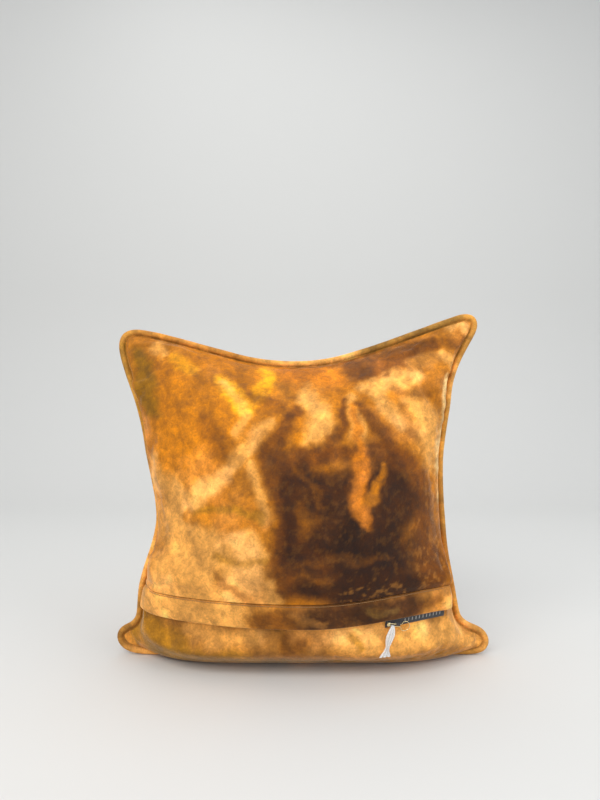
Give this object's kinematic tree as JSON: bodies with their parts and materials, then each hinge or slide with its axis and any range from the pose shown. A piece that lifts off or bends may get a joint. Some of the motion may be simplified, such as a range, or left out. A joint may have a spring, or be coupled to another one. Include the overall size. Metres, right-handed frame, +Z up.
{
  "type": "throw pillow",
  "caption": "Square piped velvet throw pillow standing on its lower edge, with a stuffed insert, a zip under a flap, and a label with a bulb pin and ribbon.",
  "frame": {"origin": "middle of the bounding box at the surface the pillow stands on", "axes": "+Z up, +X to the right of someone facing the zip side, -Y towards that person"},
  "size_m": [0.4786, 0.2062, 0.4376],
  "materials": {
    "velvet": "crushed velvet, tie-dyed amber, ochre and brown",
    "piping_velvet": "bias-cut velvet, tan and gold",
    "thread": "matt thread",
    "cotton_cord": "unbleached cotton",
    "ticking": "plain woven ticking",
    "filling": "loose fill",
    "zip_tape": "woven tape",
    "zip_coil": "nylon coil",
    "zip_metal": "dull antique metal",
    "label": "charcoal woven strip",
    "brass": "pale gold wire",
    "gauze": "sheer white gauze"
  },
  "bodies": {
    "cover": {"front_panel": "velvet", "back_panel_upper": "velvet", "back_panel_lower": "velvet", "zip_flap": "velvet", "flap_topstitch": "thread", "piping_cover": "piping_velvet", "piping_cord": "cotton_cord", "insert_casing_front": "ticking", "insert_casing_back": "ticking", "insert_filling": "filling", "zipper_tape_upper": "zip_tape", "zipper_tape_lower": "zip_tape", "zipper_coil_upper": "zip_coil", "zipper_coil_lower": "zip_coil", "zipper_top_stop": "zip_metal", "zipper_bottom_stop": "zip_metal", "woven_label": "label"},
    "slider": {"zipper_slider": "zip_metal"},
    "pull": {"zipper_pull_tab": "zip_metal"},
    "pin": {"safety_pin_wire": "brass", "safety_pin_clasp": "brass"},
    "ribbon": {"tag_ribbon": "gauze"}
  },
  "joints": [
    {"name": "zip_travel", "type": "hinge", "parent": "cover", "child": "slider", "pos_m": [0.00332, 0.306, 0.0795], "axis": [0, 0, 1], "range_deg": [0, 45]},
    {"name": "pull_tab_swing", "type": "hinge", "parent": "slider", "child": "pull", "pos_m": [-0.14877, -0.0586, 0.08277], "axis": [0.0687, 0.1651, -0.9839], "range_deg": [0, 12]},
    {"name": "pin_swing", "type": "hinge", "parent": "cover", "child": "pin", "pos_m": [0.11384, -0.07688, 0.06547], "axis": [-0.9295, -0.307, 0.2046], "range_deg": [-12, 24]},
    {"name": "ribbon_swing", "type": "hinge", "parent": "pin", "child": "ribbon", "pos_m": [0.10696, -0.07858, 0.06394], "axis": [-0.9295, -0.307, 0.2046], "range_deg": [0, 60]}
  ]
}
